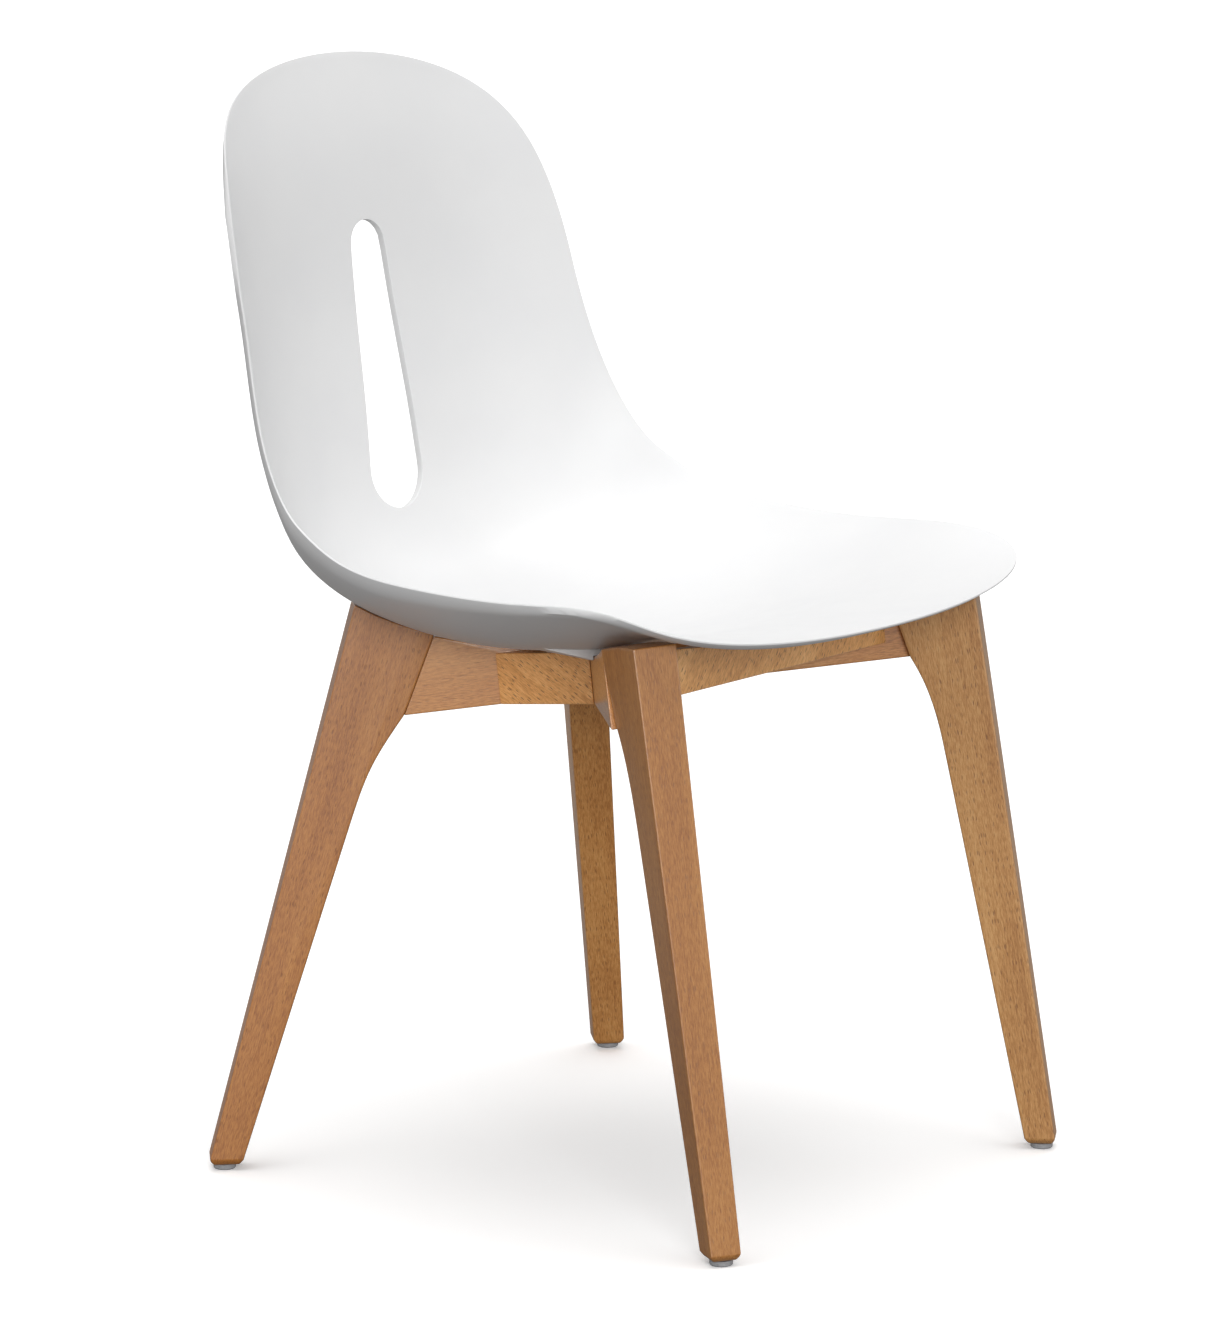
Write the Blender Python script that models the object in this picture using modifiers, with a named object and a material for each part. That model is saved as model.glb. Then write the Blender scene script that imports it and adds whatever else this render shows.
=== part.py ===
"""Dining chair: a one-piece moulded seat shell on a raked beech cross frame with four gusseted legs.

Metres, +Z up. The sitter faces -Y. The origin is on the floor, under the middle of the chair.
"""
import math

import bmesh
import bpy
import numpy as np
from mathutils import Matrix, Vector

# ---------------------------------------------------------------- seat shell
SHELL_THICKNESS = 0.0055
SHELL_RIM_THICKNESS = 0.0022        # the wall thins out to this at its rim
SHELL_RIM_ROUND = 0.0008
RISE_POWER = 2.95                   # how late across the width the edge turns up
FRONT_ROUNDING = 0.232              # share of the profile that the rounded front corners take
TOP_ROUNDING = 0.215                # share of the profile that the rounded top takes
SEAT_LOW_Z = 0.399                  # height of the lowest part of the seat
# Stations along the middle of the shell, front edge to top: y, height above the lowest part of
# the seat, both on the sitter's side, half width before the corners are rounded, rise of the edge.
SHELL_STATIONS = (
    (-0.341, 0.036, 0.393, 0.000),  # front lip
    (-0.267, 0.032, 0.262, 0.034),  # under the thighs
    (-0.170, 0.014, 0.226, 0.051),
    (-0.077, 0.000, 0.225, 0.065),  # lowest part of the seat
    (0.018, 0.003, 0.221, 0.075),
    (0.107, 0.039, 0.216, 0.087),   # bend between seat and back
    (0.134, 0.132, 0.206, 0.055),   # small of the back
    (0.151, 0.231, 0.193, 0.041),
    (0.169, 0.335, 0.199, 0.026),   # shoulders
    (0.199, 0.415, 0.234, 0.000),   # top edge
)
RISE_SPREAD = 0.13                  # share of the profile, each way, that sets the edge's direction
SHELL_GRID = (40, 20)               # quads along and across

# teardrop slot through the back, on the centre line
SLOT_TOP_Z = SEAT_LOW_Z + 0.2713    # centre of the small upper round
SLOT_BOTTOM_Z = SEAT_LOW_Z + 0.1010  # centre of the large lower round
SLOT_TOP_RADIUS = 0.0194
SLOT_BOTTOM_RADIUS = 0.0300
SLOT_ROUND_STEPS = 10

# ---------------------------------------------------------------- cross frame
FRAME_RAKE = math.radians(7.3)      # the frame leans back with the seat
HUB_BELOW_SEAT = 0.0468
HUB = Vector((0.0, -0.0729, SEAT_LOW_Z - HUB_BELOW_SEAT))  # crossing of the beams, on their underside
BEAM_HALF_ANGLE = math.radians(46.8)  # of each beam from the fore-and-aft line
BEAM_THICKNESS = 0.026
BEAM_HEIGHT = 0.060                 # the most a beam reaches, where the shell leaves room
SHELL_SEAT_GAP = 0.0035             # from the shell's underside to the beams, filled at the pads
LEG_SHELL_GAP = 0.0012              # from the shell's underside to the top of a leg
EDGE_ROUND = 0.0012
TOP_STEPS = 9                       # points along an edge that follows the shell

# ---------------------------------------------------------------- legs
# joint: distance from the hub along the beam; turn: plan angle from the fore-and-aft line.
# outer, inner and butt: distance out from the joint at the level of the beams' underside, and
# how much of it is lost for each metre up. curve: depth of the gusset's hollow below the beam.
REAR_LEG = {"joint": 0.1347, "turn": math.radians(45.3), "outer": (0.0789, 0.3737),
            "inner": (0.0332, 0.4348), "butt": (0.0183, 0.4935), "curve": 0.075,
            "start_slope": 0.86, "fullness": 0.88}
FRONT_LEG = {"joint": 0.2138, "turn": math.radians(30.7), "outer": (0.0781, 0.0503),
             "inner": (0.0337, 0.1071), "butt": (0.0226, 0.26), "curve": 0.069,
             "start_slope": 0.52, "fullness": 0.70}
LEG_THICKNESS_TOP = 0.0320          # at the level of the beams' underside
LEG_THICKNESS_FOOT = 0.0240         # at the floor
LEG_EDGE_ROUND = 0.0015
FOOT_CHAMFER = 0.004
CURVE_STEPS = 14

# ---------------------------------------------------------------- braces
SIDE_BLOCK_FACE_X = 0.0677          # outer face of the block between the beams at each side
SIDE_BLOCK_DEPTH = 0.024
SIDE_BLOCK_HEIGHT = 0.0385           # where the shell leaves that much room
SIDE_BLOCK_SHELL_GAP = 0.0010
FRONT_RAIL_FACE_Y = 0.157           # front face, ahead of the hub
FRONT_RAIL_DEPTH = 0.020
FRONT_RAIL_BOTTOM = 0.0126          # above the beams' underside
FRONT_RAIL_HEIGHT = 0.042

# ---------------------------------------------------------------- pads under the shell
PAD_DISTANCES = (0.105, -0.067)     # along each beam from the hub, front and rear
PAD_LENGTH = 0.050
PAD_CHEEK_DEPTHS = (0.008, 0.004)   # below the shell's underside, close beside the beam, front and rear
PAD_FADE = 0.046                    # from the beam's face to where a cheek runs out
PAD_SINK = 0.0012                   # how far into the wall a cheek has sunk there
PAD_FADE_POWER = 1.3                # how hollow the cheek's fade is

# ---------------------------------------------------------------- fastenings
FIT_GAP = 0.0003                    # between pieces that touch
DOWEL_RADIUS = 0.004
DOWEL_LENGTH = 0.036
DOWEL_END_GAP = 0.001
DOWEL_HEIGHTS = (0.014, 0.036)      # above the beams' underside
RAIL_DOWEL_LENGTH = 0.020
RAIL_DOWEL_HEIGHT = 0.030
SCREW_RADIUS = 0.003
SCREW_HEAD_RADIUS = 0.0058
SCREW_HEAD_HEIGHT = 0.0035
SCREW_HOLE_PLAY = 0.0006
SCREW_RECESS_PLAY = 0.0007          # round a washer
SCREW_RECESS_DEPTH = 0.010
SCREW_SOCKET_RADIUS = 0.0022
SCREW_SOCKET_DEPTH = 0.0018
WASHER_RADIUS = 0.0078
WASHER_THICKNESS = 0.0015
INSERT_WALL = 0.0012                # of brass round the screw's hole
INSERT_COVER = 0.0020               # plastic left above an insert
INSERT_RECESS = 0.0005              # from a pad's face up to its insert
GLIDE_RADIUS = 0.0085
GLIDE_HEIGHT = 0.0040
NAIL_RADIUS = 0.0013
NAIL_HEAD_RADIUS = 0.0032
NAIL_HEAD_HEIGHT = 0.0008
NAIL_LENGTH = 0.018
NAIL_RECESS = 0.0016                # the nail's head sits this far up inside the glide

ROUND_SEGMENTS = 16
MERGE = 0.00002
HALVINGS = 18                       # steps of a search along the profile
BIG = 1.0


# ---------------------------------------------------------------- scene, materials
for leftover in list(bpy.data.objects):
    bpy.data.objects.remove(leftover, do_unlink=True)

parts = bpy.data.collections.new("dining_chair")
cutters = bpy.data.collections.new("cutters")
for group in (parts, cutters):
    bpy.context.scene.collection.children.link(group)


def material(name, colour, roughness, metallic=0.0):
    made = bpy.data.materials.new(name)
    made.use_nodes = True
    shader = made.node_tree.nodes["Principled BSDF"]
    shader.inputs["Base Color"].default_value = (*colour, 1.0)
    shader.inputs["Roughness"].default_value = roughness
    shader.inputs["Metallic"].default_value = metallic
    return made


SHELL_WHITE = material("shell_white", (0.86, 0.86, 0.86), 0.45)
BEECH = material("beech", (0.56, 0.33, 0.16), 0.42)
DOWEL_BEECH = material("dowel_beech", (0.66, 0.45, 0.25), 0.6)
NYLON = material("grey_nylon", (0.42, 0.42, 0.43), 0.5)
STEEL = material("zinc_steel", (0.62, 0.62, 0.60), 0.3, 1.0)
BRASS = material("brass", (0.72, 0.55, 0.28), 0.35, 1.0)


# ---------------------------------------------------------------- the shell's surface
def natural_spline(values):
    """A natural cubic spline through values at equal steps of a parameter from 0 to 1."""
    values = np.array(values, float)
    last = len(values) - 1
    step = 1.0 / last
    matrix = np.eye(last + 1)
    right = np.zeros(last + 1)
    for i in range(1, last):
        matrix[i, i - 1:i + 2] = (1, 4, 1)
        right[i] = 6 * (values[i - 1] - 2 * values[i] + values[i + 1]) / step ** 2
    bend = np.linalg.solve(matrix, right)

    def at(t):
        i = min(int(t / step), last - 1)
        b = (t - i * step) / step
        a = 1 - b
        curve = (a ** 3 - a) * bend[i] + (b ** 3 - b) * bend[i + 1]
        return a * values[i] + b * values[i + 1] + curve * step ** 2 / 6

    return at


profile_y, profile_rise, half_width, edge_rise = (natural_spline(column) for column in zip(*SHELL_STATIONS))


def profile_z(t):
    return SEAT_LOW_Z + profile_rise(t)


def rise_direction(t):
    """Unit vector in y and z towards the sitter, square to a long chord of the profile."""
    low, high = max(t - RISE_SPREAD, 0.0), min(t + RISE_SPREAD, 1.0)
    dy = profile_y(high) - profile_y(low)
    dz = profile_z(high) - profile_z(low)
    length = math.hypot(dy, dz)
    return -dz / length, dy / length


def corner_factor(t):
    front = min(t / FRONT_ROUNDING, 1.0)
    top = min((1 - t) / TOP_ROUNDING, 1.0)
    return math.sqrt(max(1 - (1 - front) ** 2, 0.0)) * math.sqrt(max(1 - (1 - top) ** 2, 0.0))


def shell_point(t, across):
    """A point of the sitter's side: t runs front to top, across from -1 to 1."""
    inward = rise_direction(t)
    rise = edge_rise(t) * abs(across) ** RISE_POWER
    return Vector((half_width(t) * corner_factor(t) * across,
                   profile_y(t) + inward[0] * rise,
                   profile_z(t) + inward[1] * rise))


def seat_height(x, y):
    """Height of the sitter's side over a point of the seat."""
    low, high = 0.02, 0.56
    for _ in range(HALVINGS):
        t = (low + high) / 2
        across = min(abs(x) / (half_width(t) * corner_factor(t)), 1.0)
        if shell_point(t, across).y < y:
            low = t
        else:
            high = t
    return shell_point(low, across).z


def underside_height(x, y):
    """Height of the shell's underside over a point of the floor."""
    d = 0.002
    slope_x = (seat_height(x + d, y) - seat_height(x - d, y)) / (2 * d)
    slope_y = (seat_height(x, y + d) - seat_height(x, y - d)) / (2 * d)
    return seat_height(x, y) - SHELL_THICKNESS * math.sqrt(1 + slope_x ** 2 + slope_y ** 2)


# ---------------------------------------------------------------- the frame's own axes
# In the frame's axes the origin is the hub, x and y lie in the plane of the beams' undersides
# and the third axis is square to it.
FRAME = Matrix.Translation(HUB) @ Matrix.Rotation(-FRAME_RAKE, 4, "X")


def room_under_shell(x, y, gap):
    """How high a piece of the frame may reach at x, y with a gap to the shell's underside."""
    height = BEAM_HEIGHT / 2
    for _ in range(4):
        spot = FRAME @ Vector((x, y, height))
        height += (underside_height(spot.x, spot.y) - gap - spot.z) / math.cos(FRAME_RAKE)
    return height


# ---------------------------------------------------------------- tools
def add_piece(name, mesh, look, group=parts):
    piece = bpy.data.objects.new(name, mesh)
    group.objects.link(piece)
    mesh.materials.clear()
    mesh.materials.append(look)
    return piece


def board_mesh(name, outline, thickness):
    """A flat outline in x and y, extruded to its thickness about z = 0, as a closed mesh."""
    curve = bpy.data.curves.new(name, "CURVE")
    curve.dimensions = "2D"
    curve.fill_mode = "BOTH"
    curve.extrude = thickness / 2
    spline = curve.splines.new("POLY")
    spline.points.add(len(outline) - 1)
    for point, (x, y) in zip(spline.points, outline):
        point.co = (x, y, 0, 1)
    spline.use_cyclic_u = True
    flat = bpy.data.objects.new(name, curve)
    bpy.context.scene.collection.objects.link(flat)
    bpy.context.view_layer.update()
    seen = flat.evaluated_get(bpy.context.evaluated_depsgraph_get())
    mesh = bpy.data.meshes.new_from_object(seen)
    bpy.data.objects.remove(flat, do_unlink=True)
    work = bmesh.new()
    work.from_mesh(mesh)
    bmesh.ops.remove_doubles(work, verts=work.verts, dist=MERGE)
    flat_faces = [face for face in work.faces if abs(face.normal.z) > 0.99]
    inner_edges = [edge for edge in work.edges if all(face in flat_faces for face in edge.link_faces)]
    bmesh.ops.dissolve_edges(work, edges=inner_edges, use_verts=False)
    bmesh.ops.recalc_face_normals(work, faces=work.faces)
    work.to_mesh(mesh)
    work.free()
    return mesh


def upright_board(direction, start):
    """Axes of a board on edge: x along its length, y up the frame, z through its thickness."""
    along = Vector((direction[0], direction[1], 0)).normalized()
    up = Vector((0, 0, 1))
    through = along.cross(up)
    axes = Matrix((along, up, through)).transposed().to_4x4()
    return FRAME @ Matrix.Translation(start) @ axes


def trim(mesh, point, normal):
    """Cut away what lies past a plane, and close the cut."""
    work = bmesh.new()
    work.from_mesh(mesh)
    cut = bmesh.ops.bisect_plane(work, geom=work.verts[:] + work.edges[:] + work.faces[:], dist=MERGE,
                                 plane_co=point, plane_no=normal, clear_outer=True)
    rim = [edge for edge in cut["geom_cut"] if isinstance(edge, bmesh.types.BMEdge)]
    bmesh.ops.holes_fill(work, edges=rim, sides=0)
    bmesh.ops.recalc_face_normals(work, faces=work.faces)
    work.to_mesh(mesh)
    work.free()


def round_edges(piece, width, segments=2, angle=30):
    bevel = piece.modifiers.new("edges", "BEVEL")
    bevel.width = width
    bevel.segments = segments
    bevel.limit_method = "ANGLE"
    bevel.angle_limit = math.radians(angle)


def turned(name, profile, look, group=parts, segments=ROUND_SEGMENTS):
    """A turned solid about z from (radius, height) points, top to bottom down its outer side.

    A profile that ends where it starts gives a ring.
    """
    mesh = bpy.data.meshes.new(name)
    edges = [(i, i + 1) for i in range(len(profile) - 1)]
    if profile[0] == profile[-1]:
        profile = profile[:-1]
        edges[-1] = (len(profile) - 1, 0)
    mesh.from_pydata([(r, 0, z) for r, z in profile], edges, [])
    piece = add_piece(name, mesh, look, group)
    screw = piece.modifiers.new("turn", "SCREW")
    screw.steps = segments
    screw.render_steps = segments
    screw.use_merge_vertices = True
    screw.merge_threshold = MERGE
    screw.use_smooth_shade = False
    return piece


def rod(name, radius, length, look, group=parts, segments=ROUND_SEGMENTS, chamfer=0.0):
    """A straight round rod along z, centred, with chamfered ends."""
    half = length / 2
    if chamfer:
        profile = [(0, half), (radius - chamfer, half), (radius, half - chamfer),
                   (radius, chamfer - half), (radius - chamfer, -half), (0, -half)]
    else:
        profile = [(0, half), (radius, half), (radius, -half), (0, -half)]
    return turned(name, profile, look, group, segments)


def cut_with(piece, cutter, operation="DIFFERENCE", solver="EXACT"):
    cutter.hide_render = True
    cutter.display_type = "WIRE"
    boolean = piece.modifiers.new(cutter.name, "BOOLEAN")
    boolean.operation = operation
    boolean.solver = solver
    boolean.object = cutter


def cut_shell(cutter, operation="DIFFERENCE"):
    """The shell's curved wall meets the pads at grazing angles, which only this solver closes."""
    cut_with(shell, cutter, operation, "MANIFOLD")


def cutter_rod(name, radius, length, matrix):
    cutter = rod(name, radius, length, STEEL, cutters)
    cutter.matrix_world = matrix
    return cutter


def along_axis(direction):
    """Rotation that turns z to a direction."""
    return Vector((0, 0, 1)).rotation_difference(Vector(direction)).to_matrix().to_4x4()


# ---------------------------------------------------------------- layout of the beams and legs
def plan_direction(side, end, angle):
    """Unit vector in plan: side -1 or 1 in x, end -1 front or 1 rear."""
    return Vector((side * math.sin(angle), end * math.cos(angle), 0))


def leg_of(end):
    return FRONT_LEG if end < 0 else REAR_LEG


def joint_point(side, end):
    return plan_direction(side, end, BEAM_HALF_ANGLE) * leg_of(end)["joint"]


def beam_top(side, end, distance):
    """Highest level of a beam at a distance from the hub, clear of the shell over its width."""
    out = plan_direction(side, end, BEAM_HALF_ANGLE)
    across = Vector((-out.y, out.x, 0)) * BEAM_THICKNESS / 2
    levels = [room_under_shell(*(out * distance + across * k).xy, SHELL_SEAT_GAP) for k in (-1, 1)]
    return min(BEAM_HEIGHT, *levels)


def bezier(p0, p1, p2, p3, steps):
    out = []
    for i in range(steps + 1):
        t = i / steps
        a = 1 - t
        out.append(tuple(a ** 3 * p0[k] + 3 * a * a * t * p1[k] + 3 * a * t * t * p2[k] + t ** 3 * p3[k]
                         for k in (0, 1)))
    return out


def leg_thickness(height):
    """Thickness of a leg at a level of the frame."""
    slope = (LEG_THICKNESS_TOP - LEG_THICKNESS_FOOT) / HUB.z
    return LEG_THICKNESS_TOP + slope * height


def leg_outline(side, end):
    leg = leg_of(end)
    out = plan_direction(side, end, leg["turn"])
    start = joint_point(side, end)

    def reach(line, height):
        return leg[line][0] - leg[line][1] * height

    def top_level(distance):
        across = Vector((-out.y, out.x, 0)) * LEG_THICKNESS_TOP / 2
        return min(room_under_shell(*(start + out * distance + across * k).xy, LEG_SHELL_GAP)
                   for k in (-1, 1))

    def top_on(line):
        height = BEAM_HEIGHT
        for _ in range(12):
            height = top_level(reach(line, height))
        return height

    foot = -HUB.z - 0.06
    hollow = -leg["curve"]
    butt_foot = (reach("butt", 0), 0.0)
    inner_top = (reach("inner", hollow), hollow)
    # the tangents of the hollow meet here
    slope, line = leg["start_slope"], leg["inner"]
    meet_height = -(line[0] - butt_foot[0]) / (slope - line[1])
    meet = (reach("inner", meet_height), meet_height)
    full = leg["fullness"]
    handles = [tuple(p[k] + full * (meet[k] - p[k]) for k in (0, 1)) for p in (butt_foot, inner_top)]
    curve = bezier(butt_foot, handles[0], handles[1], inner_top, CURVE_STEPS)
    outer_top = (reach("outer", top_on("outer")), top_on("outer"))
    butt_top = (reach("butt", top_on("butt")), top_on("butt"))
    top = []
    for i in range(1, TOP_STEPS // 2):
        distance = butt_top[0] + (outer_top[0] - butt_top[0]) * i / (TOP_STEPS // 2)
        top.append((distance, top_level(distance)))
    outline = [(reach("inner", foot), foot), (reach("outer", foot), foot), outer_top]
    outline += top[::-1] + [butt_top] + curve
    return outline


# ---------------------------------------------------------------- legs
def make_leg(name, side, end):
    leg = leg_of(end)
    out = plan_direction(side, end, leg["turn"])
    mesh = board_mesh(name, leg_outline(side, end), 1.0)
    for vertex in mesh.vertices:
        vertex.co.z *= leg_thickness(vertex.co.y)
    place = upright_board(out, joint_point(side, end))
    foot_level = GLIDE_HEIGHT + FIT_GAP
    down = place.inverted().to_3x3() @ Vector((0, 0, -1))
    trim(mesh, place.inverted() @ Vector((0, 0, foot_level + FOOT_CHAMFER)), down)
    chamfer_foot(mesh, place, foot_level)
    piece = add_piece(name, mesh, BEECH)
    piece.matrix_world = place
    round_edges(piece, LEG_EDGE_ROUND, angle=32)
    return piece


def chamfer_foot(mesh, place, foot_level):
    """Carry the cut foot on down to its level, drawn in on all sides."""
    work = bmesh.new()
    work.from_mesh(mesh)
    sole = min(work.faces, key=lambda face: (place @ face.calc_center_median()).z)
    grown = bmesh.ops.extrude_face_region(work, geom=[sole])
    rim = [item for item in grown["geom"] if isinstance(item, bmesh.types.BMVert)]
    bmesh.ops.delete(work, geom=[sole], context="FACES_ONLY")
    middle = sum((place @ vertex.co for vertex in rim), Vector()) / len(rim)
    for vertex in rim:
        spot = place @ vertex.co
        inward = Vector((middle.x - spot.x, middle.y - spot.y, 0))
        spot += inward.normalized() * FOOT_CHAMFER
        spot.z = foot_level
        vertex.co = place.inverted() @ spot
    bmesh.ops.recalc_face_normals(work, faces=work.faces)
    work.to_mesh(mesh)
    work.free()


def foot_centre(side, end):
    """Middle of a leg's foot, on the floor."""
    leg = leg_of(end)
    out = plan_direction(side, end, leg["turn"])
    low = joint_point(side, end)
    height = -HUB.z
    for _ in range(20):
        reach = sum(leg[line][0] - leg[line][1] * height for line in ("outer", "inner")) / 2
        spot = FRAME @ (low + out * reach + Vector((0, 0, height)))
        height -= spot.z - GLIDE_HEIGHT
    return Vector((spot.x, spot.y, 0))


CORNERS = (("rear_right", -1, 1), ("front_right", -1, -1), ("front_left", 1, -1), ("rear_left", 1, 1))
legs = {corner: make_leg("leg_" + corner, side, end) for corner, side, end in CORNERS}


# ---------------------------------------------------------------- beams
def butt_plane(side, end):
    """The plane where a beam's end meets its leg: a point, and the way out of the beam."""
    leg = leg_of(end)
    out = plan_direction(side, end, leg["turn"])
    point = joint_point(side, end) + out * (leg["butt"][0] - FIT_GAP)
    normal = (out + Vector((0, 0, leg["butt"][1]))).normalized()
    return point, normal


def make_beam(name, front_side):
    """A beam from the front leg at one side to the rear leg at the other."""
    forward = plan_direction(front_side, -1, BEAM_HALF_ANGLE)
    front_end, rear_end = FRONT_LEG["joint"] + 0.07, REAR_LEG["joint"] + 0.07
    outline = [(-rear_end, 0), (front_end, 0)]
    for i in range(2 * TOP_STEPS + 1):
        distance = front_end - (front_end + rear_end) * i / (2 * TOP_STEPS)
        if distance > 0:
            level = beam_top(front_side, -1, distance)
        else:
            level = beam_top(-front_side, 1, -distance)
        outline.append((distance, level))
    mesh = board_mesh(name, outline, BEAM_THICKNESS)
    place = upright_board(forward, Vector((0, 0, 0)))
    for side, end in ((front_side, -1), (-front_side, 1)):
        point, normal = butt_plane(side, end)
        to_mesh = place.inverted() @ FRAME
        trim(mesh, to_mesh @ point, to_mesh.to_3x3() @ normal)
    piece = add_piece(name, mesh, BEECH)
    piece.matrix_world = place
    round_edges(piece, EDGE_ROUND, angle=32)
    return piece


beams = {1: make_beam("beam_rear_right_to_front_left", 1),
         -1: make_beam("beam_front_right_to_rear_left", -1)}

# half-lap at the hub: each beam loses half its height where the other crosses
HUB_HEIGHT = beam_top(1, -1, 0.0)
LAP_LEVEL = HUB_HEIGHT / 2
for front_side, upper in ((1, True), (-1, False)):
    notch = board_mesh("lap_notch", [(-BEAM_THICKNESS / 2 - FIT_GAP, -BIG / 2),
                                     (BEAM_THICKNESS / 2 + FIT_GAP, -BIG / 2),
                                     (BEAM_THICKNESS / 2 + FIT_GAP, BIG / 2),
                                     (-BEAM_THICKNESS / 2 - FIT_GAP, BIG / 2)], 2 * BEAM_THICKNESS)
    low, high = (LAP_LEVEL - FIT_GAP / 2, BIG / 4) if upper else (-BIG / 4, LAP_LEVEL + FIT_GAP / 2)
    for vertex in notch.vertices:
        vertex.co.y = low if vertex.co.y < 0 else high
    cutter = add_piece("lap_cut_" + beams[front_side].name, notch, BEECH, cutters)
    other = plan_direction(-front_side, -1, BEAM_HALF_ANGLE)
    across = Vector((-other.y, other.x, 0))
    cutter.matrix_world = upright_board(across, Vector((0, 0, 0)))
    cut_with(beams[front_side], cutter)


# ---------------------------------------------------------------- blocks and rail between the beams
def beam_face_planes(side, rail):
    """Faces of the beams that a brace fits between, as a point and the way into the beam."""
    planes = []
    for end in ((-1, 1) if not rail else (-1,)):
        for flank in ((side,) if not rail else (-1, 1)):
            along = plan_direction(flank, end, BEAM_HALF_ANGLE)
            into = Vector((-along.y, along.x, 0))
            inside = Vector((0, -1, 0)) if rail else Vector((side, 0, 0))
            if into.dot(inside) > 0:
                into = -into
            planes.append((-into * (BEAM_THICKNESS / 2 + FIT_GAP), into))
    return planes


def side_block_board(name, side, play):
    """A plank across the space between the beams at one side, larger all round by the play."""
    face = side * (SIDE_BLOCK_FACE_X + play)
    inner = side * (SIDE_BLOCK_FACE_X - SIDE_BLOCK_DEPTH - play)
    reach = SIDE_BLOCK_FACE_X / math.tan(BEAM_HALF_ANGLE)
    spots = [(x, y) for x in (abs(face), abs(inner)) for y in (-reach, -reach / 2, 0)]
    room = min(room_under_shell(x, y, SIDE_BLOCK_SHELL_GAP) for x, y in spots)
    height = min(SIDE_BLOCK_HEIGHT, room) + play
    mesh = board_mesh(name, [(face, -reach), (inner, -reach), (inner, reach), (face, reach)], height)
    return mesh, FRAME @ Matrix.Translation((0, 0, height / 2))


def make_side_block(name, side):
    """The block between the beams at one side, its ends cut to their faces."""
    mesh, place = side_block_board(name, side, 0)
    for point, normal in beam_face_planes(side, False):
        trim(mesh, point, normal)
    block = add_piece(name, mesh, BEECH)
    block.matrix_world = place
    round_edges(block, EDGE_ROUND / 2, segments=1)


def make_front_rail():
    """The rail across the front between the beams, its ends cut to their faces."""
    middle_y = -FRONT_RAIL_FACE_Y + FRONT_RAIL_DEPTH / 2
    half = FRONT_RAIL_FACE_Y * 2
    outline = [(-half, FRONT_RAIL_BOTTOM), (half, FRONT_RAIL_BOTTOM)]
    for i in range(2 * TOP_STEPS + 1):
        x = half - half * i / TOP_STEPS
        near = max(-BEAM_REACH, min(BEAM_REACH, x))
        room = min(room_under_shell(near, middle_y + k * FRONT_RAIL_DEPTH / 2, SHELL_SEAT_GAP) for k in (-1, 1))
        outline.append((x, min(FRONT_RAIL_BOTTOM + FRONT_RAIL_HEIGHT, room)))
    mesh = board_mesh("front_rail", outline, FRONT_RAIL_DEPTH)
    place = upright_board((1, 0, 0), Vector((0, middle_y, 0)))
    to_mesh = place.inverted() @ FRAME
    for point, normal in beam_face_planes(0, True):
        trim(mesh, to_mesh @ point, to_mesh.to_3x3() @ normal)
    rail = add_piece("front_rail", mesh, BEECH)
    rail.matrix_world = place
    round_edges(rail, EDGE_ROUND / 2, segments=1)
    return rail


BEAM_REACH = FRONT_LEG["joint"] * math.sin(BEAM_HALF_ANGLE)
for label, side in (("right", -1), ("left", 1)):
    make_side_block("side_block_" + label, side)
front_rail = make_front_rail()


# ---------------------------------------------------------------- dowels
def seat_dowel(name, centre, direction, length, hosts):
    """A dowel along a direction of the frame, and its hole in each piece that it joins."""
    place = FRAME @ Matrix.Translation(centre) @ along_axis(direction)
    dowel = rod(name, DOWEL_RADIUS, length, DOWEL_BEECH, segments=14, chamfer=0.0008)
    dowel.matrix_world = place
    hole = cutter_rod("hole_" + name, DOWEL_RADIUS + FIT_GAP, length + 2 * DOWEL_END_GAP, place)
    for host in hosts:
        cut_with(host, hole)


for corner, side, end in CORNERS:
    point, normal = butt_plane(side, end)
    beam = beams[side] if end < 0 else beams[-side]
    for label, height in zip(("lower", "upper"), DOWEL_HEIGHTS):
        out = plan_direction(side, end, (leg_of(end)["turn"] + BEAM_HALF_ANGLE) / 2)
        centre = point + out * (-leg_of(end)["butt"][1] * height) + Vector((0, 0, height))
        seat_dowel("dowel_{}_{}".format(corner, label), centre, out, DOWEL_LENGTH, (beam, legs[corner]))

for label, side in (("right", -1), ("left", 1)):
    beam_line = plan_direction(side, -1, BEAM_HALF_ANGLE)
    rail_middle = -FRONT_RAIL_FACE_Y + FRONT_RAIL_DEPTH / 2
    inward = Vector((-side, 0, 0))
    distance = rail_middle / beam_line.y
    centre = beam_line * distance + inward * (BEAM_THICKNESS / 2) / math.cos(BEAM_HALF_ANGLE)
    seat_dowel("rail_dowel_" + label, centre + Vector((0, 0, RAIL_DOWEL_HEIGHT)), inward,
               RAIL_DOWEL_LENGTH, (beams[side], front_rail))


# ---------------------------------------------------------------- shell
def shell_sheet():
    """The sitter's side as an open sheet: a square grid bent to the shell's rounded outline."""
    along, across = SHELL_GRID
    bpy.ops.mesh.primitive_grid_add(x_subdivisions=across, y_subdivisions=along, size=2)
    sheet = bpy.context.object
    for vertex in sheet.data.vertices:
        b, a = vertex.co.x, vertex.co.y
        p = a * math.sqrt(1 - b * b / 2)
        q = b * math.sqrt(1 - a * a / 2)
        span = math.sqrt(max(1 - p * p, 1e-12))
        vertex.co = shell_point((1 + p) / 2, max(-1.0, min(1.0, q / span)))
    return sheet


def inner_vertices(mesh):
    """Numbers of the vertices that aren't on the border of an open sheet."""
    work = bmesh.new()
    work.from_mesh(mesh)
    inner = [vertex.index for vertex in work.verts if not vertex.is_boundary]
    work.free()
    return inner


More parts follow.
